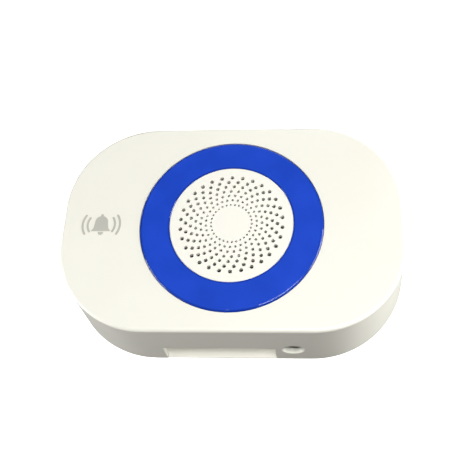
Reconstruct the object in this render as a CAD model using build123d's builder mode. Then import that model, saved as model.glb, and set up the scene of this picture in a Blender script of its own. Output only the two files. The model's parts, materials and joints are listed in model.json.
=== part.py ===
from build123d import *

import os
from math import cos, radians, sin, tan

# Alarm siren for a wall: a drafted shell with a light ring and a perforated disc in
# its front, closed at the back by a cover that hooks onto a wall plate.
# Millimetres. z = 0 is the plane of the wall, +Z points out through the disc, +Y is
# up on the wall, and the origin is the middle of the back. The -Y side holds the
# power inlet and the thumb recess.

# ---------------------------------------------------------------- body
LENGTH = 145.0
WIDTH = 95.8
CORNER = 39.6
FACE_Z = 33.0
DRAFT = 4.33
WALL = 2.2
FACE = 2.4
EDGE = 1.4
BACK_EDGE = 0.3
LIP = 1.2
LEDGE_Z = 29.0
LEDGE_R = 40.0

# ---------------------------------------------------------------- light ring and disc
RING_OUTER_R = 37.75
RING_INNER_R = 25.5
RING_TOP_Z = 33.3
RING_SEAT_Z = 31.2
RING_GAP = 0.12
RING_EDGE = 0.9
OPENING_R = 34.0
RING_SKIRT_R = (31.9, 33.8)
RING_SKIRT_Z = 27.6
STEP_TOP_Z = 31.4
STEP_R = (24.15, 26.9)
STEP_Z = 30.0
DISC_R = 25.4
DISC_TOP_Z = 33.2
DISC_EDGE = 0.2
DISC_SKIRT_R = (22.9, 24.0)
DISC_SKIRT_Z = 29.2
HOLE_RINGS = 7
HOLES_PER_RING = 30
FIRST_RING_R = 8.36
RING_PITCH = 2.105
FIRST_ANGLE = 9.9
ANGLE_PER_RING = 7.5
FIRST_HOLE_R = 0.45
HOLE_GROWTH = 0.0625

# ---------------------------------------------------------------- openings in the -Y wall
JACK_X = 25.1
JACK_Z = 11.8
JACK_HOLE_R = 4.4
JACK_HOLE_EDGE = 0.25
JACK_FACE_Y = -44.2
NOTCH_X = -5.2
NOTCH_WIDTH = 46.0
NOTCH_HEIGHT = 13.1
NOTCH_CORNER = 1.0
NOTCH_EDGE = 0.2
SCOOP_DEPTH = 11.0
SCOOP_LIP = 1.0
SCOOP_SHELL = 1.0
SCOOP_PAST_LEFT = 3.0
SCOOP_PAST_RIGHT = 0.4

# ---------------------------------------------------------------- back
COVER = 2.2
COVER_GAP = 0.2
POCKET = (92.0, 60.0)
POCKET_DEPTH = 2.6
POCKET_FLOOR = 2.0
PLATE = (86.0, 50.0)
PLATE_T = 2.2
PLATE_Y = 4.0
HOOK_X = 35.0
HOOK_STEM = (5.0, 2.5)
HOOK_TOE = 5.0
HOOK_TOE_Z = 4.9
HOOK_TOE_T = 1.5
HOOK_ROWS = (-12.0, 14.0)
WALL_SCREW_SPACING = (48.0, 30.0)
WALL_SCREW_R = 2.1

# ---------------------------------------------------------------- mark printed on the front
MARK_AT = (-53.9, -0.3)
MARK_T = 0.06
MARK_LINE = 0.9
MARK_ARCS = (5.7, 7.8)
MARK_ARC_SPAN = 64.0

# ---------------------------------------------------------------- boards
BOARD = (92.0, 78.0)
BOARD_Y = -3.0
BOARD_Z = 17.7
BOARD_T = 1.6
BOARD_TOP_Z = BOARD_Z + BOARD_T
KEY_X = 58.0
KEY_BOARD = (14.0, 37.0)
KEY_BOARD_Z = 8.0
KEY_BOARD_T = 1.2
TACT_Y = -8.0
SLIDER_Y = 8.0
SLIDER_TRAVEL = 2.0

# ---------------------------------------------------------------- sounder and lamps
HOLDER_R = (22.6, 23.9)
HOLDER_Z = (20.0, 28.8)
TROUGH_Z = 22.6
TROUGH_T = 1.4
TROUGH_R = (37.6, 39.0)
TROUGH_TOP_Z = 29.0
CAPSULE_R = 22.4
CAPSULE_Z = (21.0, 30.1)
RESONATOR_Z = 25.5
LED_COUNT = 16
LED_RING_R = 29.0
LED_BOARD_T = 1.2
HEADER_Y = -30.0
HEADER_PITCH = 2.54
EAR_R = 43.5

# ---------------------------------------------------------------- fastener places
REAR_SCREWS = [(x, y) for x in (-54.0, 54.0) for y in (-27.0, 27.0)]
BOARD_SCREWS = [(-41.0, -35.0), (-41.0, 31.0), (41.0, -35.0), (41.0, 31.0)]
CHASSIS_ANGLES = (45.0, 135.0, 225.0, 315.0)
CHASSIS_SCREWS = [
    (EAR_R * cos(radians(a)), EAR_R * sin(radians(a))) for a in CHASSIS_ANGLES
]
KEY_SCREWS = [(KEY_X, -15.3), (KEY_X, 15.3)]

SEATED = (Align.CENTER, Align.CENTER, Align.MIN)
HUNG = (Align.CENTER, Align.CENTER, Align.MAX)
STANDING = (Align.CENTER, Align.MIN)


def save(piece, label):
    """Names a finished piece and writes its STEP file."""
    piece.part.label = label
    export_step(piece.part, f"parts/{label}.step")


def outline(inset):
    """Outline of the back edge, moved in by inset, for the sketch in progress."""
    RectangleRounded(LENGTH - 2 * inset, WIDTH - 2 * inset, CORNER - inset)


def side_y(z, inset=0.0):
    """The y of the drafted -Y wall at height z, moved in by inset."""
    return -(WIDTH / 2 - inset - z * tan(radians(DRAFT)))


def columns(places, radius, low, high, mode=Mode.ADD):
    """Upright cylinders from low to high, for the part in progress."""
    with Locations(*[(x, y, low) for x, y in places]):
        Cylinder(radius, high - low, align=SEATED, mode=mode)


def annulus(outer, inner):
    """A ring-shaped face, for the sketch in progress."""
    Circle(outer)
    Circle(inner, mode=Mode.SUBTRACT)


def cross_recess(places, face_z, depth, width, up):
    """Cuts a cross into screw heads; up is +1 where the cross opens upwards."""
    with Locations(*[(x, y, face_z - up * depth / 2) for x, y in places]):
        Box(width, 0.22 * width, depth, mode=Mode.SUBTRACT)
        Box(0.22 * width, width, depth, mode=Mode.SUBTRACT)


os.makedirs("parts", exist_ok=True)

# ---------------------------------------------------------------- front_housing
REAR_POST_Z = 5.2
BOARD_POST_R = 3.0
CHASSIS_POST_R = 3.4
NOTCH_LEFT = NOTCH_X - NOTCH_WIDTH / 2

with BuildPart() as front_housing:
    with BuildSketch(Plane.XY):
        outline(0)
    extrude(amount=FACE_Z, taper=DRAFT)
    fillet(front_housing.faces().sort_by(Axis.Z)[-1].edges(), EDGE)
    fillet(front_housing.faces().sort_by(Axis.Z)[0].edges(), BACK_EDGE)
    with BuildSketch(Plane.XY):
        outline(WALL / cos(radians(DRAFT)))
    extrude(amount=FACE_Z - FACE, taper=DRAFT, mode=Mode.SUBTRACT)
    with BuildSketch(Plane.XY):
        outline(LIP)
    extrude(amount=COVER, mode=Mode.SUBTRACT)
    # posts for the three sets of screws, hanging from the inside of the face
    columns(REAR_SCREWS, 3.7, REAR_POST_Z, FACE_Z - FACE)
    columns(BOARD_SCREWS, BOARD_POST_R, BOARD_TOP_Z, FACE_Z - FACE)
    columns(CHASSIS_SCREWS, CHASSIS_POST_R, TROUGH_Z + TROUGH_T, FACE_Z - FACE)
    columns(REAR_SCREWS, 1.3, REAR_POST_Z, REAR_POST_Z + 14.0, Mode.SUBTRACT)
    columns(BOARD_SCREWS, 1.1, BOARD_TOP_Z, BOARD_TOP_Z + 7.0, Mode.SUBTRACT)
    columns(CHASSIS_SCREWS, 1.1, TROUGH_Z, TROUGH_Z + TROUGH_T + 5.0, Mode.SUBTRACT)
    # ledge, opening and flush seat of the light ring
    with BuildSketch(Plane.XY.offset(LEDGE_Z)):
        Circle(LEDGE_R)
    extrude(amount=FACE_Z - FACE - LEDGE_Z)
    with BuildSketch(Plane.XY.offset(LEDGE_Z)):
        Circle(OPENING_R)
    extrude(amount=FACE_Z - LEDGE_Z, mode=Mode.SUBTRACT)
    with BuildSketch(Plane.XY.offset(RING_SEAT_Z)):
        Circle(RING_OUTER_R + RING_GAP)
    extrude(amount=FACE_Z - RING_SEAT_Z, mode=Mode.SUBTRACT)
    # bore of the power inlet
    with BuildSketch(Plane.XZ.offset(-JACK_FACE_Y)):
        with Locations((JACK_X, JACK_Z)):
            Circle(JACK_HOLE_R)
    extrude(amount=WIDTH / 2 + JACK_FACE_Y + 1, mode=Mode.SUBTRACT)
    jack_rim = front_housing.edges().filter_by(GeomType.ELLIPSE).sort_by(Axis.Y)[0]
    fillet(jack_rim, JACK_HOLE_EDGE)
    # notch that the back cover's thumb recess fills
    with BuildSketch(Plane.XZ.offset(WIDTH / 2 + 1)) as notch:
        with Locations((NOTCH_X, 0)):
            Rectangle(NOTCH_WIDTH, NOTCH_HEIGHT, align=STANDING)
        fillet(notch.vertices().group_by(Axis.Y)[-1], NOTCH_CORNER)
    extrude(amount=-5.0, mode=Mode.SUBTRACT)
    edges_on_wall = front_housing.edges().filter_by(
        lambda edge: abs(edge.center().Y - side_y(edge.center().Z)) < 0.05
    )
    notch_rim = edges_on_wall.filter_by_position(
        Axis.X, NOTCH_LEFT - 0.5, NOTCH_LEFT + NOTCH_WIDTH + 0.5
    ).filter_by_position(Axis.Z, 2 * BACK_EDGE, NOTCH_HEIGHT + 0.5)
    fillet(notch_rim, NOTCH_EDGE)
save(front_housing, "front_housing")

# ---------------------------------------------------------------- front_mark
with BuildPart() as front_mark:
    with BuildSketch(Plane((*MARK_AT, FACE_Z))):
        # dome, flared skirt and knob of a bell
        with Locations((0, 1.2)):
            Circle(2.7)
        with Locations((0, 4.2)):
            Circle(0.6)
        Polygon(
            (-2.7, 1.2),
            (-3.1, -1.6),
            (-4.1, -2.9),
            (4.1, -2.9),
            (3.1, -1.6),
            (2.7, 1.2),
            align=None,
        )
        # clapper, parted from the skirt by a thin line
        with Locations((0, -3.5)):
            Circle(1.1)
        with Locations((0, -3.05)):
            Rectangle(3.0, 0.3, mode=Mode.SUBTRACT)
        # sound spreading to both sides
        for radius in MARK_ARCS:
            for middle in (0.0, 180.0):
                start = middle - MARK_ARC_SPAN / 2
                SlotArc(
                    Edge.make_circle(
                        radius, start_angle=start, end_angle=start + MARK_ARC_SPAN
                    ),
                    MARK_LINE,
                )
    extrude(amount=MARK_T)
save(front_mark, "front_mark")

# ---------------------------------------------------------------- rear_cover
SCOOP_LEFT = NOTCH_LEFT - SCOOP_PAST_LEFT
SCOOP_WIDTH = NOTCH_WIDTH + SCOOP_PAST_LEFT + SCOOP_PAST_RIGHT
SCOOP_TOP = NOTCH_HEIGHT + SCOOP_SHELL
SCOOP_FRONT_Y = side_y(0) + 0.15
POCKET_TOP = POCKET_DEPTH + POCKET_FLOOR
POCKET_WALL = 2.0
BATTERY = (50.0, 34.0)
BATTERY_Y = 5.0
SCREW_SEAT_Z = POCKET_DEPTH
HOOK_SLOT = (5.8, HOOK_STEM[1] + HOOK_TOE + 3.9)


def scoop_section(grow, shelf):
    """Section of the thumb recess, a quarter of an ellipse under a flat top."""
    with Locations((SCOOP_FRONT_Y, NOTCH_HEIGHT)):
        Ellipse(SCOOP_DEPTH + grow, NOTCH_HEIGHT - SCOOP_LIP + grow)
        Rectangle(4 * SCOOP_DEPTH, 4 * SCOOP_DEPTH, align=STANDING, mode=Mode.SUBTRACT)
        if shelf:
            Rectangle(2 * (SCOOP_DEPTH + grow), shelf, align=STANDING)


with BuildPart() as rear_cover:
    with BuildSketch(Plane.XY):
        outline(LIP + COVER_GAP)
    extrude(amount=COVER)
    # raised floor over the wall plate's pocket
    with BuildSketch(Plane.XY):
        RectangleRounded(POCKET[0] + 2 * POCKET_WALL, POCKET[1] + 2 * POCKET_WALL, 7.0)
    extrude(amount=POCKET_TOP)
    with BuildSketch(Plane.XY):
        RectangleRounded(*POCKET, 5.0)
    extrude(amount=POCKET_DEPTH, mode=Mode.SUBTRACT)
    # thumb recess: a shell behind the wall and a lip through the notch
    with BuildSketch(Plane.YZ.offset(SCOOP_LEFT - SCOOP_SHELL)):
        scoop_section(SCOOP_SHELL, SCOOP_SHELL)
        with BuildLine():
            Polyline(
                (side_y(0, WALL + COVER_GAP), 0),
                (side_y(SCOOP_TOP, WALL + COVER_GAP), SCOOP_TOP),
                (0, SCOOP_TOP),
                (0, 0),
                close=True,
            )
        make_face(mode=Mode.INTERSECT)
    extrude(amount=SCOOP_WIDTH + 2 * SCOOP_SHELL)
    with BuildSketch(Plane.YZ.offset(NOTCH_LEFT + COVER_GAP)):
        with BuildLine():
            Polyline(
                (SCOOP_FRONT_Y, 0),
                (SCOOP_FRONT_Y + 0.08, SCOOP_LIP + 0.6),
                (-WIDTH / 2 + 4.5, SCOOP_LIP + 0.6),
                (-WIDTH / 2 + 4.5, 0),
                close=True,
            )
        make_face()
    extrude(amount=NOTCH_WIDTH - 2 * COVER_GAP)
    with BuildSketch(Plane.YZ.offset(SCOOP_LEFT)):
        scoop_section(0.0, 0.0)
    extrude(amount=SCOOP_WIDTH, mode=Mode.SUBTRACT)
    # tray round the battery, open on the side its lead leaves
    with BuildSketch(Plane.XY.offset(POCKET_TOP)):
        with Locations((0, BATTERY_Y)):
            RectangleRounded(BATTERY[0] + 3.2, BATTERY[1] + 3.2, 2.0)
            Rectangle(BATTERY[0] + 0.8, BATTERY[1] + 0.8, mode=Mode.SUBTRACT)
        with Locations((-BATTERY[0] / 2, BATTERY_Y)):
            Rectangle(6.0, 12.0, mode=Mode.SUBTRACT)
    extrude(amount=4.4)
    # seats of the four screws
    columns(REAR_SCREWS, 4.7, 0.0, REAR_POST_Z - 0.2)
    columns(REAR_SCREWS, 3.3, 0.0, SCREW_SEAT_Z, Mode.SUBTRACT)
    columns(REAR_SCREWS, 1.65, 0.0, REAR_POST_Z, Mode.SUBTRACT)
    # posts under the key board
    columns(KEY_SCREWS, 2.5, COVER, KEY_BOARD_Z)
    columns(KEY_SCREWS, 0.95, COVER, KEY_BOARD_Z, Mode.SUBTRACT)
    # openings for the hooks and the three controls
    with Locations(
        *[
            (x, y + HOOK_STEM[1] + 0.3, POCKET_DEPTH)
            for x in (-HOOK_X, HOOK_X)
            for y in HOOK_ROWS
        ]
    ):
        Box(
            *HOOK_SLOT,
            POCKET_FLOOR,
            align=(Align.CENTER, Align.MAX, Align.MIN),
            mode=Mode.SUBTRACT,
        )
    columns([(KEY_X, TACT_Y)], 3.2, 0.0, COVER, Mode.SUBTRACT)
    columns([(KEY_X, 0.0)], 2.2, 0.0, COVER, Mode.SUBTRACT)
    with Locations((KEY_X, SLIDER_Y, 0)):
        Box(3.8, 6.0, COVER, align=SEATED, mode=Mode.SUBTRACT)
    # the back edge is broken so that it doesn't catch
    chamfer(rear_cover.faces().sort_by(Axis.Z)[0].outer_wire().edges(), 0.3)
save(rear_cover, "rear_cover")

# ---------------------------------------------------------------- wall_plate
TONGUE = (12.0, 14.0)
TONGUE_SLOT = 1.2

with BuildPart() as wall_plate:
    with BuildSketch(Plane.XY):
        with Locations((0, PLATE_Y)):
            RectangleRounded(*PLATE, 5.0)
        # spring tongue that clicks the siren into place
        with Locations((0, PLATE_Y - PLATE[1] / 2 + 10.0)):
            Rectangle(
                TONGUE[0] + 2 * TONGUE_SLOT, TONGUE[1] + TONGUE_SLOT, mode=Mode.SUBTRACT
            )
        with Locations((0, PLATE_Y - PLATE[1] / 2 + 10.0 - TONGUE_SLOT)):
            Rectangle(TONGUE[0], TONGUE[1] + TONGUE_SLOT)
    extrude(amount=PLATE_T)
    with Locations((0, PLATE_Y - PLATE[1] / 2 + 6.0, PLATE_T)):
        Box(8.0, 1.6, 0.3, align=SEATED)
    # countersunk holes for the screws into the wall
    with Locations(Pos(0, PLATE_Y, PLATE_T)):
        with GridLocations(*WALL_SCREW_SPACING, 2, 2):
            CounterSinkHole(WALL_SCREW_R, 3.7)
    # four hooks that reach through the cover
    for hook_y in HOOK_ROWS:
        with Locations((-HOOK_X, hook_y, PLATE_T), (HOOK_X, hook_y, PLATE_T)):
            Box(
                *HOOK_STEM,
                HOOK_TOE_Z + HOOK_TOE_T - PLATE_T,
                align=(Align.CENTER, Align.MIN, Align.MIN),
            )
        with Locations((-HOOK_X, hook_y, HOOK_TOE_Z), (HOOK_X, hook_y, HOOK_TOE_Z)):
            Box(
                HOOK_STEM[0],
                HOOK_STEM[1] + HOOK_TOE,
                HOOK_TOE_T,
                align=(Align.CENTER, Align.MIN, Align.MIN),
            )
save(wall_plate, "wall_plate")

# ---------------------------------------------------------------- light_ring
with BuildPart() as light_ring:
    with BuildSketch(Plane.XZ):
        with BuildLine():
            Polyline(
                (RING_INNER_R, RING_TOP_Z),
                (RING_OUTER_R, RING_TOP_Z),
                (RING_OUTER_R, RING_SEAT_Z),
                (RING_SKIRT_R[1], RING_SEAT_Z),
                (RING_SKIRT_R[1], RING_SKIRT_Z),
                (RING_SKIRT_R[0], RING_SKIRT_Z),
                (RING_SKIRT_R[0], RING_SEAT_Z),
                (STEP_R[1], RING_SEAT_Z),
                (STEP_R[1], STEP_Z),
                (STEP_R[0], STEP_Z),
                (STEP_R[0], STEP_TOP_Z),
                (RING_INNER_R, STEP_TOP_Z),
                close=True,
            )
        make_face()
    revolve(axis=Axis.Z)
    ring_rims = light_ring.edges().filter_by(GeomType.CIRCLE).group_by(Axis.Z)[-1]
    fillet(ring_rims.sort_by(SortBy.RADIUS)[-1], RING_EDGE)
    inner_rim = light_ring.edges().filter_by(GeomType.CIRCLE).group_by(Axis.Z)[-1]
    chamfer(inner_rim.sort_by(SortBy.RADIUS)[0], 0.12)
save(light_ring, "light_ring")

# ---------------------------------------------------------------- grille
with BuildPart() as grille:
    with BuildSketch(Plane.XY.offset(STEP_TOP_Z)):
        Circle(DISC_R)
    extrude(amount=DISC_TOP_Z - STEP_TOP_Z)
    fillet(grille.edges().group_by(Axis.Z)[-1], DISC_EDGE)
    with BuildSketch(Plane.XY.offset(STEP_TOP_Z)):
        for ring in range(HOLE_RINGS):
            with PolarLocations(
                FIRST_RING_R + RING_PITCH * ring,
                HOLES_PER_RING,
                start_angle=FIRST_ANGLE + ANGLE_PER_RING * ring,
            ):
                Circle(FIRST_HOLE_R + HOLE_GROWTH * ring)
    extrude(amount=DISC_TOP_Z - STEP_TOP_Z, mode=Mode.SUBTRACT)
    # skirt that snaps into the light ring
    with BuildSketch(Plane.XY.offset(DISC_SKIRT_Z)):
        annulus(DISC_SKIRT_R[1], DISC_SKIRT_R[0])
    extrude(amount=STEP_TOP_Z - DISC_SKIRT_Z)
save(grille, "grille")

# ---------------------------------------------------------------- dust_mesh and gasket
MESH_T = 0.4
MESH_Z = STEP_TOP_Z - MESH_T
MESH_R = 22.7
GASKET_R = (18.8, 22.2)

with BuildPart() as dust_mesh:
    with BuildSketch(Plane.XY.offset(MESH_Z)):
        Circle(MESH_R)
    extrude(amount=MESH_T)
save(dust_mesh, "dust_mesh")

with BuildPart() as siren_gasket:
    with BuildSketch(Plane.XY.offset(CAPSULE_Z[1])):
        annulus(GASKET_R[1], GASKET_R[0])
    extrude(amount=MESH_Z - CAPSULE_Z[1])
save(siren_gasket, "siren_gasket")

# ---------------------------------------------------------------- siren_capsule
CAPSULE_BORE_R = 21.0
CHAMBER_R = 19.4
CAPSULE_FACE = 1.4
PORT_R = 5.5
SLOT_RING_R = 12.5

with BuildPart() as siren_capsule:
    with BuildSketch(Plane.XY.offset(CAPSULE_Z[0])):
        Circle(CAPSULE_R)
    extrude(amount=CAPSULE_Z[1] - CAPSULE_Z[0])
    fillet(siren_capsule.edges().group_by(Axis.Z)[-1], 0.5)
    with BuildSketch(Plane.XY.offset(CAPSULE_Z[0])):
        Circle(CAPSULE_BORE_R)
    extrude(amount=RESONATOR_Z - CAPSULE_Z[0], mode=Mode.SUBTRACT)
    with BuildSketch(Plane.XY.offset(RESONATOR_Z)):
        Circle(CHAMBER_R)
    extrude(amount=CAPSULE_Z[1] - CAPSULE_FACE - RESONATOR_Z, mode=Mode.SUBTRACT)
    # sound port and a ring of slots round it
    with BuildSketch(Plane.XY.offset(CAPSULE_Z[1] - CAPSULE_FACE)):
        Circle(PORT_R)
        with PolarLocations(SLOT_RING_R, 6):
            SlotOverall(7.0, 2.4, rotation=90)
    extrude(amount=CAPSULE_FACE, mode=Mode.SUBTRACT)
save(siren_capsule, "siren_capsule")

# ---------------------------------------------------------------- piezo element
PIEZO_R = 20.6
PIEZO_T = 0.3
CERAMIC_R = 12.5
CERAMIC_T = 0.25

with BuildPart() as piezo_plate:
    with BuildSketch(Plane.XY.offset(RESONATOR_Z - PIEZO_T)):
        Circle(PIEZO_R)
    extrude(amount=PIEZO_T)
save(piezo_plate, "piezo_plate")

with BuildPart() as piezo_ceramic:
    with BuildSketch(Plane.XY.offset(RESONATOR_Z - PIEZO_T - CERAMIC_T)):
        Circle(CERAMIC_R)
    extrude(amount=CERAMIC_T)
save(piezo_ceramic, "piezo_ceramic")

# ---------------------------------------------------------------- capsule_back
TERMINALS = [(-5.0, -12.0), (5.0, -12.0)]
TERMINAL_R = 0.5

with BuildPart() as capsule_back:
    with BuildSketch(Plane.XY.offset(CAPSULE_Z[0])):
        Circle(CAPSULE_BORE_R - 0.1)
    extrude(amount=RESONATOR_Z - PIEZO_T - CAPSULE_Z[0])
    with BuildSketch(Plane.XY.offset(CAPSULE_Z[0] + 1.4)):
        Circle(CHAMBER_R)
    extrude(amount=RESONATOR_Z, mode=Mode.SUBTRACT)
    columns(TERMINALS, TERMINAL_R + 0.05, CAPSULE_Z[0], RESONATOR_Z, Mode.SUBTRACT)
save(capsule_back, "capsule_back")

with BuildPart() as siren_terminals:
    columns(TERMINALS, TERMINAL_R, BOARD_Z - 0.8, CAPSULE_Z[0] + 2.2)
save(siren_terminals, "siren_terminals")

# ---------------------------------------------------------------- light_chassis
with BuildPart() as light_chassis:
    with BuildSketch(Plane.XY.offset(HOLDER_Z[0])):
        annulus(HOLDER_R[1], HOLDER_R[0])
    extrude(amount=HOLDER_Z[1] - HOLDER_Z[0])
    with BuildSketch(Plane.XY.offset(HOLDER_Z[0])):
        annulus(HOLDER_R[1], 20.5)
    extrude(amount=CAPSULE_Z[0] - HOLDER_Z[0])
    with BuildSketch(Plane.XY.offset(TROUGH_Z)):
        annulus(TROUGH_R[1], HOLDER_R[0])
        with PolarLocations(EAR_R, 4, start_angle=CHASSIS_ANGLES[0]):
            Circle(3.6)
            Rectangle(12.0, 7.2, align=(Align.MAX, Align.CENTER))
        Circle(HOLDER_R[0], mode=Mode.SUBTRACT)
        with Locations(*CHASSIS_SCREWS):
            Circle(1.35, mode=Mode.SUBTRACT)
        with Locations((0, HEADER_Y)):
            Rectangle(9.4, 3.4, mode=Mode.SUBTRACT)
    extrude(amount=TROUGH_T)
    with BuildSketch(Plane.XY.offset(TROUGH_Z)):
        annulus(TROUGH_R[1], TROUGH_R[0])
    extrude(amount=TROUGH_TOP_Z - TROUGH_Z)
save(light_chassis, "light_chassis")

# ---------------------------------------------------------------- lamp board
LED_BOARD_Z = TROUGH_Z + TROUGH_T
LED_BOARD_TOP = LED_BOARD_Z + LED_BOARD_T
HEADER_PINS = [(HEADER_PITCH * i, HEADER_Y) for i in (-1, 0, 1)]
PIN_R = 0.32

with BuildPart() as led_board:
    with BuildSketch(Plane.XY.offset(LED_BOARD_Z)):
        annulus(TROUGH_R[0] - 0.4, HOLDER_R[1] + 0.5)
        with Locations(*HEADER_PINS):
            Circle(PIN_R + 0.15, mode=Mode.SUBTRACT)
    extrude(amount=LED_BOARD_T)
save(led_board, "led_board")

with BuildPart() as leds:
    with BuildSketch(Plane.XY.offset(LED_BOARD_TOP)):
        with PolarLocations(LED_RING_R, LED_COUNT, start_angle=180 / LED_COUNT):
            Rectangle(2.8, 3.5)
    extrude(amount=1.6)
    with BuildSketch(Plane.XY.offset(LED_BOARD_TOP + 1.2)):
        with PolarLocations(LED_RING_R, LED_COUNT, start_angle=180 / LED_COUNT):
            Circle(1.15)
    extrude(amount=0.4, mode=Mode.SUBTRACT)
save(leds, "leds")

with BuildPart() as led_header:
    with Locations((0, HEADER_Y, BOARD_TOP_Z)):
        Box(3 * HEADER_PITCH, 2.5, LED_BOARD_Z - BOARD_TOP_Z, align=SEATED)
    columns(HEADER_PINS, PIN_R, BOARD_Z - 1.0, LED_BOARD_TOP + 0.8)
save(led_header, "led_header")

# ---------------------------------------------------------------- main_board
with BuildPart() as main_board:
    with BuildSketch(Plane.XY.offset(BOARD_Z)):
        with Locations((0, BOARD_Y)):
            RectangleRounded(*BOARD, 4.0)
        with Locations(*BOARD_SCREWS):
            Circle(1.35, mode=Mode.SUBTRACT)
        with Locations(*TERMINALS):
            Circle(TERMINAL_R + 0.15, mode=Mode.SUBTRACT)
        with Locations(*HEADER_PINS):
            Circle(PIN_R + 0.15, mode=Mode.SUBTRACT)
    extrude(amount=BOARD_T)
save(main_board, "main_board")

# ---------------------------------------------------------------- power inlet
JACK = (9.0, 14.0, 11.0)
JACK_FLANGE = 3.4
JACK_MOUTH_R = 3.2
JACK_MOUTH_DEPTH = 10.0
CENTRE_PIN_R = 1.05

with BuildPart() as dc_jack:
    with Locations((JACK_X, JACK_FACE_Y, BOARD_Z)):
        Box(JACK[0], JACK_FLANGE, JACK[2], align=(Align.CENTER, Align.MIN, Align.MAX))
        Box(
            JACK[0],
            JACK[1],
            BOARD_Z - JACK_Z,
            align=(Align.CENTER, Align.MIN, Align.MAX),
        )
    with BuildSketch(Plane.XZ.offset(-JACK_FACE_Y)):
        with Locations((JACK_X, JACK_Z)):
            Circle(4.2)
    extrude(amount=-JACK[1])
    with BuildSketch(Plane.XZ.offset(-JACK_FACE_Y)):
        with Locations((JACK_X, JACK_Z)):
            Circle(JACK_MOUTH_R)
    extrude(amount=-JACK_MOUTH_DEPTH, mode=Mode.SUBTRACT)
    with BuildSketch(Plane.XZ.offset(-JACK_FACE_Y)):
        with Locations((JACK_X, JACK_Z)):
            Circle(CENTRE_PIN_R)
    extrude(amount=-JACK[1], mode=Mode.SUBTRACT)
save(dc_jack, "dc_jack")

with BuildPart() as dc_jack_pin:
    with BuildSketch(Plane.XZ.offset(-JACK_FACE_Y - 1.2)):
        with Locations((JACK_X, JACK_Z)):
            Circle(CENTRE_PIN_R)
    extrude(amount=-(JACK[1] - 1.2))
    fillet(dc_jack_pin.edges().group_by(Axis.Y)[0], 0.5)
save(dc_jack_pin, "dc_jack_pin")

# ---------------------------------------------------------------- radio module
MODULE = (18.0, 25.5, 0.8)
MODULE_AT = (-36.5, 0.0)

with BuildPart() as wifi_module:
    with BuildSketch(Plane.XY.offset(BOARD_TOP_Z)):
        with Locations(MODULE_AT):
            Rectangle(MODULE[0], MODULE[1])
            # plated half holes down both long sides
            with GridLocations(MODULE[0], 2.0, 2, 9):
                Circle(0.45, mode=Mode.SUBTRACT)
    extrude(amount=MODULE[2])
save(wifi_module, "wifi_module")

with BuildPart() as wifi_shield:
    with Locations((MODULE_AT[0], MODULE_AT[1] - 3.0, BOARD_TOP_Z + MODULE[2])):
        Box(15.4, 17.4, 2.2, align=SEATED)
    fillet(wifi_shield.edges().filter_by(Axis.Z), 0.8)
    fillet(wifi_shield.edges().group_by(Axis.Z)[-1], 0.3)
save(wifi_shield, "wifi_shield")

# ---------------------------------------------------------------- parts under the board
COIL_AT = (32.6, 2.0)
COIL_Z = BOARD_Z - 8.0
CAN_PLACES = [(35.0, 17.0), (38.0, -16.0)]
CAN_HEIGHT = 9.0

with BuildPart() as boost_coil_core:
    with BuildSketch(Plane.XZ):
        with BuildLine():
            Polyline(
                (0, COIL_Z),
                (4.5, COIL_Z),
                (4.5, COIL_Z + 1.2),
                (2.2, COIL_Z + 1.2),
                (2.2, BOARD_Z - 1.4),
                (4.5, BOARD_Z - 1.4),
                (4.5, BOARD_Z),
                (0, BOARD_Z),
                close=True,
            )
        make_face()
    revolve(axis=Axis.Z)
    boost_coil_core.part = Pos(*COIL_AT, 0) * boost_coil_core.part
save(boost_coil_core, "boost_coil_core")

with BuildPart() as boost_coil_winding:
    with BuildSketch(Plane.XY.offset(COIL_Z + 1.25)):
        with Locations(COIL_AT):
            annulus(4.0, 2.25)
    extrude(amount=BOARD_Z - COIL_Z - 2.7)
save(boost_coil_winding, "boost_coil_winding")

with BuildPart() as capacitors:
    with Locations(*[(x, y, BOARD_Z) for x, y in CAN_PLACES]):
        Cylinder(4.0, CAN_HEIGHT, align=HUNG)
    fillet(capacitors.edges().group_by(Axis.Z)[0], 0.6)
    can_seams = [(x, y, BOARD_Z - 1.6) for x, y in CAN_PLACES]
    with Locations(*can_seams):
        Torus(4.3, 0.6, mode=Mode.SUBTRACT)
save(capacitors, "capacitors")

with BuildPart() as board_chips:
    for x, y, length, width in (
        (33.0, 10.0, 5.0, 5.0),
        (33.0, -10.0, 5.0, 4.0),
        (-30.0, 24.0, 7.0, 7.0),
        (29.0, 20.5, 3.0, 1.6),
        (29.0, -21.0, 3.0, 1.6),
        (-12.0, 31.0, 3.2, 1.6),
        (12.0, 31.0, 3.2, 1.6),
    ):
        with Locations((x, y, BOARD_TOP_Z)):
            Box(length, width, 1.1, align=SEATED)
save(board_chips, "board_chips")

# ---------------------------------------------------------------- battery and its lead
BATTERY_Z = 4.8
BATTERY_T = 8.6
PLUG_AT = (-37.0, BATTERY_Y)
PLUG = (5.0, 7.0, 4.2)
LEAD_R = 0.7
LEAD_ROWS = (BATTERY_Y - 1.1, BATTERY_Y + 1.1)

with BuildPart() as backup_battery:
    with Locations((0, BATTERY_Y, BATTERY_Z)):
        Box(*BATTERY, BATTERY_T, align=SEATED)
    fillet(backup_battery.edges().filter_by(Axis.Y), 3.2)
    fillet(backup_battery.edges().group_by(Axis.Y)[0], 0.6)
    fillet(backup_battery.edges().group_by(Axis.Y)[-1], 0.6)
save(backup_battery, "backup_battery")

with BuildPart() as battery_connector:
    with Locations((*PLUG_AT, BOARD_Z)):
        Box(*PLUG, align=HUNG)
    with Locations(*[(PLUG_AT[0], y, BOARD_Z - PLUG[2]) for y in LEAD_ROWS]):
        Cylinder(LEAD_R + 0.1, 1.5, align=SEATED, mode=Mode.SUBTRACT)
    fillet(battery_connector.edges().filter_by(Axis.Z).group_by(Axis.X)[0], 0.5)
save(battery_connector, "battery_connector")

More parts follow.
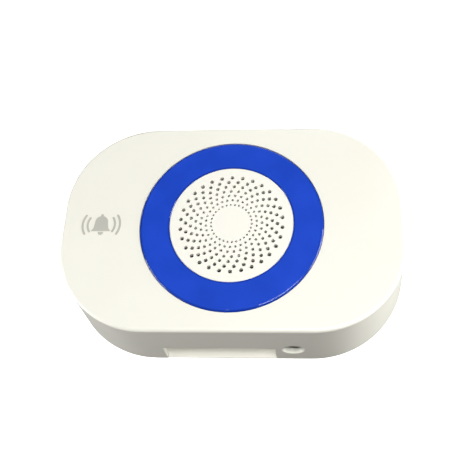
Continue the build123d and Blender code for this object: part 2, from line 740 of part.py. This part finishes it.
LEAD_Z = BATTERY_Z + BATTERY_T / 2
LEAD_START_X = -BATTERY[0] / 2
with BuildPart() as battery_leads:
    for lead_y in LEAD_ROWS:
        with BuildLine() as lead_path:
            FilletPolyline(
                (LEAD_START_X, lead_y, LEAD_Z),
                (LEAD_START_X - 5.0, lead_y, LEAD_Z),
                (PLUG_AT[0], lead_y, LEAD_Z - 1.0),
                (PLUG_AT[0], lead_y, BOARD_Z - PLUG[2] + 1.5),
                radius=[6.0, 2.6],
            )
        with BuildSketch(Plane.YZ.offset(LEAD_START_X)):
            with Locations((lead_y, LEAD_Z)):
                Circle(LEAD_R)
        sweep(path=lead_path.line)
save(battery_leads, "battery_leads")

# ---------------------------------------------------------------- key board
KEY_BOARD_TOP = KEY_BOARD_Z + KEY_BOARD_T

with BuildPart() as key_board:
    with BuildSketch(Plane.XY.offset(KEY_BOARD_Z)):
        with Locations((KEY_X, 0)):
            RectangleRounded(*KEY_BOARD, 2.0)
        with Locations(*KEY_SCREWS):
            Circle(1.15, mode=Mode.SUBTRACT)
    extrude(amount=KEY_BOARD_T)
save(key_board, "key_board")

RIBBON = (6.0, 0.5)
RIBBON_LOW = (53.0, KEY_BOARD_TOP + 1.3)
RIBBON_HIGH = (44.0, BOARD_Z - 1.3)
RIBBON_TURN_X = 48.8

with BuildPart() as ribbon_connectors:
    with Locations((RIBBON_LOW[0] + 2.5, 0, KEY_BOARD_TOP)):
        Box(5.0, 9.0, 2.6, align=SEATED)
    with Locations((RIBBON_HIGH[0] - 2.5, 0, BOARD_Z)):
        Box(5.0, 9.0, 2.6, align=HUNG)
save(ribbon_connectors, "ribbon_connectors")

with BuildPart() as key_ribbon:
    with BuildLine(Plane.XZ) as ribbon_path:
        FilletPolyline(
            RIBBON_LOW,
            (RIBBON_TURN_X, RIBBON_LOW[1]),
            (RIBBON_TURN_X, RIBBON_HIGH[1]),
            RIBBON_HIGH,
            radius=[2.4, 2.4],
        )
    with BuildSketch(Plane.YZ.offset(RIBBON_LOW[0])):
        with Locations((0, RIBBON_LOW[1])):
            Rectangle(*RIBBON)
    sweep(path=ribbon_path.line)
save(key_ribbon, "key_ribbon")

# ---------------------------------------------------------------- pairing button
FLANGE_Z = 2.4
TACT_Z = 4.6

with BuildPart() as tact_switch:
    with Locations((KEY_X, TACT_Y, TACT_Z)):
        Box(6.0, 6.0, KEY_BOARD_Z - TACT_Z, align=SEATED)
    columns([(KEY_X, TACT_Y)], 1.95, TACT_Z, TACT_Z + 1.3, Mode.SUBTRACT)
save(tact_switch, "tact_switch")

with BuildPart() as tact_plunger:
    columns([(KEY_X, TACT_Y)], 1.75, FLANGE_Z + 0.8, TACT_Z + 0.5)
save(tact_plunger, "tact_plunger")

with BuildPart() as pairing_button:
    columns([(KEY_X, TACT_Y)], 2.9, 0.6, FLANGE_Z)
    fillet(pairing_button.edges().group_by(Axis.Z)[0], 0.4)
    columns([(KEY_X, TACT_Y)], 3.8, FLANGE_Z, FLANGE_Z + 0.8)
save(pairing_button, "pairing_button")

# ---------------------------------------------------------------- power switch
SWITCH_Z = 4.0
KNOB_Y = SLIDER_Y - SLIDER_TRAVEL / 2

with BuildPart() as power_switch:
    with Locations((KEY_X, SLIDER_Y, SWITCH_Z)):
        Box(4.4, 8.4, KEY_BOARD_Z - SWITCH_Z, align=SEATED)
        Box(2.4, 4.6, 1.2, align=SEATED, mode=Mode.SUBTRACT)
save(power_switch, "power_switch")

with BuildPart() as power_switch_knob:
    with Locations((KEY_X, KNOB_Y, 0.6)):
        Box(3.2, 3.0, 1.5, align=SEATED)
        Box(2.0, 2.0, SWITCH_Z + 0.2, align=SEATED)
    # three grooves for a fingernail
    with Locations(*[(KEY_X, KNOB_Y + 0.9 * i, 0.6) for i in (-1, 0, 1)]):
        Box(3.2, 0.4, 0.3, align=SEATED, mode=Mode.SUBTRACT)
save(power_switch_knob, "power_switch_knob")

# ---------------------------------------------------------------- tamper switch
TAMPER_SWITCH_Z = 6.2
TAMPER_FLANGE_Z = 3.7
SPRING_Z = TAMPER_FLANGE_Z + 0.6
SPRING_WIRE_R = 0.18
SPRING_R = 1.9
SPRING_TURNS = 3.0

with BuildPart() as tamper_switch:
    with Locations((KEY_X, 0, TAMPER_SWITCH_Z)):
        Box(6.2, 6.2, KEY_BOARD_Z - TAMPER_SWITCH_Z, align=SEATED)
    columns([(KEY_X, 0.0)], 1.5, TAMPER_SWITCH_Z, KEY_BOARD_Z - 0.4, Mode.SUBTRACT)
save(tamper_switch, "tamper_switch")

with BuildPart() as tamper_plunger:
    columns([(KEY_X, 0.0)], 1.9, 0.0, TAMPER_FLANGE_Z)
    fillet(tamper_plunger.edges().group_by(Axis.Z)[0], 0.5)
    columns([(KEY_X, 0.0)], 2.8, TAMPER_FLANGE_Z, SPRING_Z)
    columns([(KEY_X, 0.0)], 1.25, SPRING_Z, TAMPER_SWITCH_Z + 0.8)
save(tamper_plunger, "tamper_plunger")

SPRING_LOW = SPRING_Z + SPRING_WIRE_R + 0.02
SPRING_HEIGHT = TAMPER_SWITCH_Z - SPRING_WIRE_R - 0.02 - SPRING_LOW
with BuildPart() as tamper_spring:
    with BuildLine(Plane.XY.offset(SPRING_LOW)) as spring_path:
        Helix(SPRING_HEIGHT / SPRING_TURNS, SPRING_HEIGHT, SPRING_R)
    with BuildSketch(Plane(spring_path.line @ 0, z_dir=spring_path.line % 0)):
        Circle(SPRING_WIRE_R)
    sweep(path=spring_path.line, is_frenet=True)
    tamper_spring.part = Pos(KEY_X, 0, 0) * tamper_spring.part
save(tamper_spring, "tamper_spring")

# ---------------------------------------------------------------- screws


def screws_from_below(places, seat_z, head, shank_r, shank_length):
    """Pan-head screws whose heads hang under seat_z; head is radius and height."""
    columns(places, head[0], seat_z - head[1], seat_z)
    columns(places, shank_r, seat_z, seat_z + shank_length)


COVER_HEAD = (2.8, 1.9)
BOARD_HEAD = (2.3, 1.6)
KEY_HEAD = (1.9, 1.4)

with BuildPart() as rear_screws:
    screws_from_below(REAR_SCREWS, SCREW_SEAT_Z, COVER_HEAD, 1.25, 12.0)
    fillet(rear_screws.edges().group_by(Axis.Z)[0], 0.7)
    cross_recess(REAR_SCREWS, SCREW_SEAT_Z - COVER_HEAD[1], 1.1, 2.6, -1)
save(rear_screws, "rear_screws")

with BuildPart() as board_screws:
    screws_from_below(BOARD_SCREWS, BOARD_Z, BOARD_HEAD, 1.05, 7.0)
    fillet(board_screws.edges().group_by(Axis.Z)[0], 0.5)
    cross_recess(BOARD_SCREWS, BOARD_Z - BOARD_HEAD[1], 0.9, 2.2, -1)
save(board_screws, "board_screws")

with BuildPart() as chassis_screws:
    screws_from_below(CHASSIS_SCREWS, TROUGH_Z, BOARD_HEAD, 1.05, 5.6)
    fillet(chassis_screws.edges().group_by(Axis.Z)[0], 0.5)
    cross_recess(CHASSIS_SCREWS, TROUGH_Z - BOARD_HEAD[1], 0.9, 2.2, -1)
save(chassis_screws, "chassis_screws")

with BuildPart() as key_board_screws:
    columns(KEY_SCREWS, KEY_HEAD[0], KEY_BOARD_TOP, KEY_BOARD_TOP + KEY_HEAD[1])
    columns(KEY_SCREWS, 0.9, KEY_BOARD_Z - 4.5, KEY_BOARD_TOP)
    fillet(key_board_screws.edges().group_by(Axis.Z)[-1], 0.4)
    cross_recess(KEY_SCREWS, KEY_BOARD_TOP + KEY_HEAD[1], 0.8, 1.9, 1)
save(key_board_screws, "key_board_screws")
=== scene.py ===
import json
import math

import bpy
from mathutils import Matrix, Vector

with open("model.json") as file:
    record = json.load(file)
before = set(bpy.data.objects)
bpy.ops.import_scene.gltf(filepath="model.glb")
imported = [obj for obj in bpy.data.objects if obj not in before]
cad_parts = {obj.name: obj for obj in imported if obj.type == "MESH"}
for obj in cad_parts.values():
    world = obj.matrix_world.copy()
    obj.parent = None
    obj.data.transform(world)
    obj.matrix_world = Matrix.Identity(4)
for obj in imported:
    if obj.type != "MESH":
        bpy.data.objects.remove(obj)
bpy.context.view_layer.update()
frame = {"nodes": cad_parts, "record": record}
nodes = frame["nodes"]

MM = 0.001


# ---------------------------------------------------------------- shader helpers
class Graph:
    """A material's node tree, with short calls for the nodes used here."""

    def __init__(self, name):
        self.material = bpy.data.materials.new(name)
        self.material.use_nodes = True
        self.tree = self.material.node_tree
        self.shader = self.tree.nodes["Principled BSDF"]
        self.coordinates = self.tree.nodes.new("ShaderNodeTexCoord").outputs["Object"]

    def set(self, **values):
        """Sets sockets of the shader that are the same all over the surface."""
        for name, value in values.items():
            socket = name.replace("_", " ").title().replace("Ior", "IOR")
            self.shader.inputs[socket].default_value = value

    def link(self, source, target):
        """Joins an output to a socket."""
        self.tree.links.new(source, target)

    def node(self, kind, **inputs):
        """Adds a node and feeds the inputs that are named."""
        made = self.tree.nodes.new(kind)
        for name, value in inputs.items():
            self.feed(made.inputs[name.replace("_", " ")], value)
        return made

    def feed(self, socket, value):
        """Links value to the socket where it is an output, and sets it otherwise."""
        if isinstance(value, bpy.types.NodeSocket):
            self.link(value, socket)
        else:
            socket.default_value = value

    def noise(self, grain, detail=2.0, roughness=0.5):
        """Noise whose features are about grain metres across."""
        made = self.node("ShaderNodeTexNoise", Vector=self.coordinates)
        made.inputs["Scale"].default_value = 1.0 / grain
        made.inputs["Detail"].default_value = detail
        made.inputs["Roughness"].default_value = roughness
        return made.outputs["Fac"]

    def math(self, operation, first, second=0.0):
        """Arithmetic on one or two values."""
        made = self.tree.nodes.new("ShaderNodeMath")
        made.operation = operation
        self.feed(made.inputs[0], first)
        self.feed(made.inputs[1], second)
        return made.outputs[0]

    def wave(self, value, pitch):
        """Sine of value that repeats every pitch metres, from -1 to 1."""
        return self.math("SINE", self.math("MULTIPLY", value, 2 * math.pi / pitch))

    def span(self, value, low, high, start=0.0, end=1.0):
        """Maps value from start..end to low..high."""
        made = self.tree.nodes.new("ShaderNodeMapRange")
        self.feed(made.inputs["Value"], value)
        made.inputs["From Min"].default_value = start
        made.inputs["From Max"].default_value = end
        made.inputs["To Min"].default_value = low
        made.inputs["To Max"].default_value = high
        return made.outputs["Result"]

    def blend(self, factor, first, second):
        """Mixes two colours by factor."""
        made = self.tree.nodes.new("ShaderNodeMix")
        made.data_type = "RGBA"
        self.feed(made.inputs["Factor"], factor)
        for socket, colour in (("A", first), ("B", second)):
            self.feed(made.inputs[socket], (*colour, 1.0) if isinstance(colour, tuple) else colour)
        return made.outputs["Result"]

    def bump(self, height, depth, below=None):
        """Turns a height of 0..1 into relief that is depth metres deep, on top of below."""
        made = self.tree.nodes.new("ShaderNodeBump")
        made.inputs["Strength"].default_value = 1.0
        made.inputs["Distance"].default_value = depth
        self.link(height, made.inputs["Height"])
        if below is not None:
            self.link(below, made.inputs["Normal"])
        self.link(made.outputs["Normal"], self.shader.inputs["Normal"])
        return made.outputs["Normal"]


# ---------------------------------------------------------------- materials by slot
NOISE_SPREAD = (0.3, 0.7)
SCRATCH = 1.2 * MM
SCRATCH_STRETCH = 9.0
LENS_R = (25.5 * MM, 37.75 * MM)
LENS_RIPPLE = 0.9 * MM
LENS_RIPPLE_SHARE = 0.05
LENS_BLUE = (0.007, 0.051, 0.49)
LENS_BLUE_PALE = (0.010, 0.062, 0.57)
# painted shade colour for the bands beside the lens's rims
LENS_RIM_SHADE_BLUE = (0.002, 0.036, 0.36)
MESH_PITCH = 0.32 * MM
TRACK_CELL = 3.2 * MM
TRACK_AT = 0.55
TRACK_HALF_WIDTH = 0.09
PAD_SIZE = 0.13
WIRE_PITCH = 0.28 * MM


def moulded(
    name, pale, deep, roughness, grain=0.45 * MM, relief=0.012 * MM, coat=0.0, gloss=0.5
):
    """Injection-moulded plastic: spark-eroded grain, slow tone shift, uneven gloss."""
    g = Graph(name)
    cloud = g.noise(38 * MM, 3.0)
    g.link(g.blend(g.span(cloud, 0.0, 1.0, 0.35, 0.65), deep, pale), g.shader.inputs["Base Color"])
    fine = g.noise(grain, 3.0, 0.6)
    haze = g.noise(6 * MM, 4.0)
    mixed = g.math("ADD", g.math("MULTIPLY", fine, 0.6), g.math("MULTIPLY", haze, 0.4))
    dull = g.span(mixed, roughness - 0.05, roughness + 0.05, *NOISE_SPREAD)
    g.link(dull, g.shader.inputs["Roughness"])
    g.bump(fine, relief)
    g.set(coat_weight=coat, coat_roughness=0.12, specular_ior_level=gloss)
    return g.material


def metal(name, pale, deep, roughness):
    """Rolled or plated metal with faint scratches and dulled patches."""
    g = Graph(name)
    stretch = g.node("ShaderNodeMapping", Vector=g.coordinates)
    stretch.inputs["Scale"].default_value = (1.0, SCRATCH_STRETCH, 1.0)
    lines = g.node("ShaderNodeTexNoise", Vector=stretch.outputs[0])
    lines.inputs["Scale"].default_value = 1.0 / SCRATCH
    lines.inputs["Detail"].default_value = 4.0
    patch = g.noise(4 * MM, 3.0)
    g.link(g.blend(patch, deep, pale), g.shader.inputs["Base Color"])
    dull = g.span(lines.outputs["Fac"], roughness - 0.08, roughness + 0.12, *NOISE_SPREAD)
    g.link(dull, g.shader.inputs["Roughness"])
    g.bump(lines.outputs["Fac"], 0.004 * MM)
    g.set(metallic=1.0)
    return g.material


def lens_material():
    """Blue tinted lens: clear gloss over a faintly rippled diffusing layer."""
    g = Graph("lens")
    place = g.node("ShaderNodeSeparateXYZ", Vector=g.coordinates)
    x, y = place.outputs["X"], place.outputs["Y"]
    radius = g.math("SQRT", g.math("ADD", g.math("MULTIPLY", x, x), g.math("MULTIPLY", y, y)))
    ripple = g.span(g.wave(radius, LENS_RIPPLE), 0.0, LENS_RIPPLE_SHARE, -1.0, 1.0)
    cloud = g.math("MULTIPLY", g.noise(16 * MM, 3.0), 1.0 - LENS_RIPPLE_SHARE)
    tone = g.span(g.math("ADD", ripple, cloud), 0.0, 1.0, *NOISE_SPREAD)
    tint = g.blend(tone, LENS_BLUE, LENS_BLUE_PALE)
    # painted shade: darker blue in thin bands just inside the lens's outer and inner rims, where
    # it meets the housing and the disc
    outer = g.span(radius, 0.0, 1.0, LENS_R[1] - 1.1 * MM, LENS_R[1] - 0.6 * MM)
    inner = g.span(radius, 1.0, 0.0, LENS_R[0] + 0.3 * MM, LENS_R[0] + 0.8 * MM)
    painted_rim_shade = g.math("MAXIMUM", outer, inner)
    g.link(g.blend(painted_rim_shade, tint, LENS_RIM_SHADE_BLUE), g.shader.inputs["Base Color"])
    g.link(g.span(g.noise(3 * MM, 3.0), 0.45, 0.55, *NOISE_SPREAD), g.shader.inputs["Roughness"])
    g.bump(g.noise(0.8 * MM, 2.0), 0.0006 * MM)
    g.set(specular_ior_level=0.08, coat_weight=0.9, coat_roughness=0.06)
    return g.material


def weave_material():
    """Black acoustic mesh: threads crossing at right angles, with painted shade in the gaps
    between them.
    """
    g = Graph("mesh")
    place = g.node("ShaderNodeSeparateXYZ", Vector=g.coordinates)
    warp = g.math("ABSOLUTE", g.wave(place.outputs["X"], MESH_PITCH))
    weft = g.math("ABSOLUTE", g.wave(place.outputs["Y"], MESH_PITCH))
    thread = g.math("MAXIMUM", warp, weft)
    # painted shade: the gaps between the threads are coloured darker than the threads
    shade = g.blend(g.math("POWER", thread, 3.0), (0.006, 0.006, 0.007), (0.035, 0.034, 0.033))
    g.link(shade, g.shader.inputs["Base Color"])
    g.link(g.span(g.noise(0.8 * MM), 0.55, 0.8), g.shader.inputs["Roughness"])
    g.bump(thread, 0.05 * MM)
    return g.material


def board_material():
    """Green solder mask with tracks showing through it and small gold pads."""
    g = Graph("board")
    cells = g.node("ShaderNodeTexVoronoi", Vector=g.coordinates)
    cells.distance = "MANHATTAN"
    cells.feature = "F1"
    cells.inputs["Scale"].default_value = 1.0 / TRACK_CELL
    distance = cells.outputs["Distance"]
    from_track = g.math("ABSOLUTE", g.math("SUBTRACT", distance, TRACK_AT))
    tracks = g.math("LESS_THAN", from_track, TRACK_HALF_WIDTH)
    pads = g.math("LESS_THAN", distance, PAD_SIZE)
    mask = g.blend(tracks, (0.012, 0.10, 0.035), (0.02, 0.17, 0.06))
    g.link(g.blend(pads, mask, (0.75, 0.62, 0.32)), g.shader.inputs["Base Color"])
    g.link(pads, g.shader.inputs["Metallic"])
    g.link(g.span(g.noise(2 * MM), 0.25, 0.4), g.shader.inputs["Roughness"])
    g.bump(g.math("ADD", tracks, pads), 0.02 * MM)
    return g.material


def foam_material():
    """Closed-cell foam: pores of uneven size, with painted shade in their hollows."""
    g = Graph("foam")
    pores = g.node("ShaderNodeTexVoronoi", Vector=g.coordinates)
    pores.inputs["Scale"].default_value = 1.0 / (0.5 * MM)
    depth = pores.outputs["Distance"]
    # painted shade: pore hollows are coloured darker than the cell walls between them
    painted_pore_shade = g.span(depth, 0.0, 1.0, 0.1, 0.6)
    g.link(g.blend(painted_pore_shade, (0.01, 0.01, 0.011), (0.05, 0.05, 0.052)), g.shader.inputs["Base Color"])
    g.link(g.span(depth, 0.95, 0.75), g.shader.inputs["Roughness"])
    g.bump(depth, 0.12 * MM)
    return g.material


def winding_material():
    """Enamelled copper wire wound in level turns, with painted shade in the crevices between
    turns.
    """
    g = Graph("winding")
    place = g.node("ShaderNodeSeparateXYZ", Vector=g.coordinates)
    turn = g.math("ABSOLUTE", g.wave(place.outputs["Z"], 2 * WIRE_PITCH))
    # painted shade: the copper colour darkens towards the crevices between turns
    g.link(g.blend(turn, (0.12, 0.03, 0.01), (0.62, 0.24, 0.08)), g.shader.inputs["Base Color"])
    g.link(g.span(g.noise(1.5 * MM), 0.2, 0.35), g.shader.inputs["Roughness"])
    g.bump(turn, 0.12 * MM)
    g.set(metallic=0.85)
    return g.material


def cell_material():
    """Pouch battery: embossed foil with soft creases, with painted shade in the creases' hollows.
    """
    g = Graph("cell")
    crease = g.noise(7 * MM, 5.0, 0.6)
    fine = g.noise(0.6 * MM, 2.0)
    # painted shade: the foil is coloured darker in the low parts of the creases
    g.link(g.blend(crease, (0.45, 0.46, 0.48), (0.72, 0.73, 0.75)), g.shader.inputs["Base Color"])
    g.link(g.span(fine, 0.28, 0.42), g.shader.inputs["Roughness"])
    g.bump(fine, 0.01 * MM, below=g.bump(crease, 0.25 * MM))
    g.set(metallic=0.8)
    return g.material


def silvered_material():
    """Fired silver over a piezo ceramic disc, matt and slightly tarnished."""
    g = Graph("ceramic")
    patch = g.noise(3 * MM, 4.0, 0.6)
    g.link(g.blend(patch, (0.52, 0.50, 0.45), (0.82, 0.81, 0.77)), g.shader.inputs["Base Color"])
    g.link(g.span(patch, 0.55, 0.4), g.shader.inputs["Roughness"])
    g.bump(g.noise(0.3 * MM, 3.0), 0.02 * MM)
    g.set(metallic=0.6)
    return g.material


def lamp_material():
    """White surface-mount lamp: cream body with a fine grain."""
    g = Graph("lamp")
    grain = g.noise(0.25 * MM, 2.0)
    g.link(g.blend(grain, (0.86, 0.80, 0.55), (0.93, 0.90, 0.76)), g.shader.inputs["Base Color"])
    g.link(g.span(grain, 0.25, 0.4), g.shader.inputs["Roughness"])
    g.bump(grain, 0.006 * MM)
    return g.material


WHITE = (0.845, 0.842, 0.775)
WHITE_DEEP = (0.825, 0.822, 0.750)
CREAM = (0.845, 0.835, 0.76)
CREAM_DEEP = (0.825, 0.815, 0.74)
BLACK = (0.013, 0.013, 0.014)
BLACK_DEEP = (0.008, 0.008, 0.009)

finishes = {
    "shell": moulded("shell", WHITE, WHITE_DEEP, 0.36, coat=0.15),
    "disc": moulded("disc", (0.86, 0.857, 0.80), (0.84, 0.837, 0.775), 0.40),
    "back_shell": moulded("back_shell", CREAM, CREAM_DEEP, 0.45, relief=0.02 * MM),
    "bracket": moulded("bracket", CREAM, CREAM_DEEP, 0.5, relief=0.02 * MM),
    "reflector": moulded("reflector", (0.88, 0.88, 0.87), (0.86, 0.86, 0.84), 0.25),
    "capsule": moulded("capsule", (0.045, 0.045, 0.048), (0.03, 0.03, 0.032), 0.5),
    "black_plastic": moulded(
        "black_plastic", BLACK, BLACK_DEEP, 0.65, grain=0.3 * MM, gloss=0.15
    ),
    "module": moulded("module", (0.018, 0.022, 0.024), (0.01, 0.012, 0.014), 0.3, grain=1.2 * MM),
    "connector": moulded("connector", (0.82, 0.79, 0.68), (0.78, 0.75, 0.62), 0.4, grain=0.3 * MM),
    "ribbon": moulded("ribbon", (0.80, 0.80, 0.79), (0.72, 0.72, 0.71), 0.3, grain=0.8 * MM),
    "button": moulded("button", (0.20, 0.205, 0.22), (0.17, 0.175, 0.19), 0.42),
    "wire": moulded("wire", (0.45, 0.02, 0.02), (0.36, 0.015, 0.015), 0.38, grain=0.3 * MM),
    "ferrite": moulded(
        "ferrite", (0.07, 0.07, 0.075), (0.045, 0.045, 0.05), 0.5, 0.25 * MM, 0.03 * MM
    ),
    "brass": metal("brass", (0.86, 0.64, 0.30), (0.72, 0.50, 0.22), 0.28),
    "pin_metal": metal("pin_metal", (0.86, 0.86, 0.84), (0.74, 0.73, 0.70), 0.22),
    "shield": metal("shield", (0.74, 0.74, 0.74), (0.62, 0.62, 0.62), 0.3),
    "can": metal("can", (0.80, 0.80, 0.81), (0.68, 0.68, 0.69), 0.27),
    "print": moulded("print", (0.50, 0.50, 0.46), (0.46, 0.46, 0.42), 0.45, grain=0.3 * MM),
    "steel": metal("steel", (0.66, 0.66, 0.67), (0.52, 0.52, 0.53), 0.3),
    "lens": lens_material(),
    "mesh": weave_material(),
    "board": board_material(),
    "foam": foam_material(),
    "winding": winding_material(),
    "cell": cell_material(),
    "ceramic": silvered_material(),
    "lamp": lamp_material(),
}

for part in frame["record"]["subparts"]:
    nodes[part["node"]].material_slots[0].material = finishes[part["material_slot"]]


# ---------------------------------------------------------------- stage
STUDIO_R = 3.0
FLOOR_Z = -0.3 * MM
WARM = (1.0, 0.995, 0.97)
WORLD_FRONT = (0.064, 0.052, 0.045)
WORLD_BACK = (0.095, 0.090, 0.085)
SENSOR_WIDTH = 36.0


def backdrop():
    """White table top under a white dome, so bright that no horizon shows."""
    g = Graph("backdrop")
    tone = g.blend(g.noise(0.2, 2.0), (0.93, 0.93, 0.93), (0.95, 0.95, 0.95))
    g.link(tone, g.shader.inputs["Base Color"])
    g.shader.inputs["Roughness"].default_value = 0.9
    g.shader.inputs["Emission Color"].default_value = (1.0, 1.0, 1.0, 1.0)
    g.shader.inputs["Emission Strength"].default_value = 1.0
    bpy.ops.mesh.primitive_plane_add(size=2 * STUDIO_R, location=(0, 0, FLOOR_Z))
    floor = bpy.context.object
    floor.name = "floor"
    bpy.ops.mesh.primitive_uv_sphere_add(segments=48, ring_count=24, radius=STUDIO_R)
    dome = bpy.context.object
    dome.name = "dome"
    dome.visible_shadow = False
    for piece in (floor, dome):
        piece.data.materials.append(g.material)
        piece.visible_diffuse = False
        piece.visible_glossy = False


def softbox(name, azimuth, elevation, distance, size, power, colour=(1.0, 1.0, 1.0)):
    """Rectangular area light aimed at the origin; azimuth 0 is +X and 90 is +Y."""
    az, el = math.radians(azimuth), math.radians(elevation)
    toward = Vector((math.cos(az) * math.cos(el), math.sin(az) * math.cos(el), math.sin(el)))
    light = bpy.data.lights.new(name, "AREA")
    light.shape = "RECTANGLE"
    light.size, light.size_y = size
    light.energy = power
    light.color = colour
    lamp = bpy.data.objects.new(name, light)
    bpy.context.scene.collection.objects.link(lamp)
    lamp.location = toward * distance
    lamp.rotation_euler = toward.to_track_quat("Z", "Y").to_euler()
    lamp.visible_camera = False


def surroundings(strength, front, back):
    """World light that is dimmer on the side of the camera than behind the object."""
    world = bpy.data.worlds.new("studio")
    bpy.context.scene.world = world
    world.use_nodes = True
    tree = world.node_tree
    background = tree.nodes["Background"]
    direction = tree.nodes.new("ShaderNodeTexCoord")
    split = tree.nodes.new("ShaderNodeSeparateXYZ")
    tree.links.new(direction.outputs["Generated"], split.inputs[0])
    depth = tree.nodes.new("ShaderNodeMapRange")
    depth.inputs["From Min"].default_value = -0.8
    depth.inputs["From Max"].default_value = 0.6
    tree.links.new(split.outputs["Y"], depth.inputs["Value"])
    mix = tree.nodes.new("ShaderNodeMix")
    mix.data_type = "RGBA"
    mix.inputs["A"].default_value = (*front, 1.0)
    mix.inputs["B"].default_value = (*back, 1.0)
    tree.links.new(depth.outputs["Result"], mix.inputs["Factor"])
    tree.links.new(mix.outputs["Result"], background.inputs["Color"])
    background.inputs["Strength"].default_value = strength


def look_down(azimuth, elevation, roll, distance, target, lens, shift):
    """Camera that looks at target; azimuth 0 looks along +Y, roll turns it clockwise."""
    az, el, tilt = math.radians(azimuth), math.radians(elevation), math.radians(roll)
    back = Vector((math.sin(az) * math.cos(el), -math.cos(az) * math.cos(el), math.sin(el)))
    right = Vector((0, 0, 1)).cross(back).normalized()
    up = back.cross(right)
    turned_right = math.cos(tilt) * right + math.sin(tilt) * up
    turned_up = -math.sin(tilt) * right + math.cos(tilt) * up
    data = bpy.data.cameras.new("camera")
    data.sensor_width = SENSOR_WIDTH
    data.lens = lens
    data.shift_x = shift
    data.clip_start = 0.01
    camera = bpy.data.objects.new("camera", data)
    bpy.context.scene.collection.objects.link(camera)
    turn = Matrix((turned_right, turned_up, back)).transposed()
    camera.matrix_world = Matrix.Translation(Vector(target) + back * distance) @ turn.to_4x4()
    bpy.context.scene.camera = camera


backdrop()
softbox("overhead", azimuth=304.0, elevation=75.0, distance=0.63, size=(0.24, 0.24), power=2.75,
        colour=WARM)
softbox("behind", azimuth=90.0, elevation=30.0, distance=0.90, size=(0.45, 0.30), power=1.6,
        colour=WARM)
softbox("right", azimuth=2.0, elevation=12.0, distance=0.75, size=(0.45, 0.30), power=6.9,
        colour=WARM)
# long and narrow: its reflection is the pale line on the ring's rounded rim
softbox("rim", azimuth=336.0, elevation=18.0, distance=0.75, size=(0.50, 0.05), power=0.90,
        colour=WARM)
softbox("left", azimuth=196.0, elevation=10.0, distance=0.40, size=(0.20, 0.15), power=1.05)
softbox("left_front", azimuth=216.0, elevation=8.0, distance=0.36, size=(0.20, 0.12), power=0.15)
surroundings(0.94, WORLD_FRONT, WORLD_BACK)
look_down(azimuth=8.613, elevation=65.863, roll=-8.123, distance=306.99 * MM,
          target=(10.842 * MM, 9.059 * MM, 3.2 * MM), lens=52.5, shift=-0.0645)
bpy.context.scene.view_settings.view_transform = "Standard"
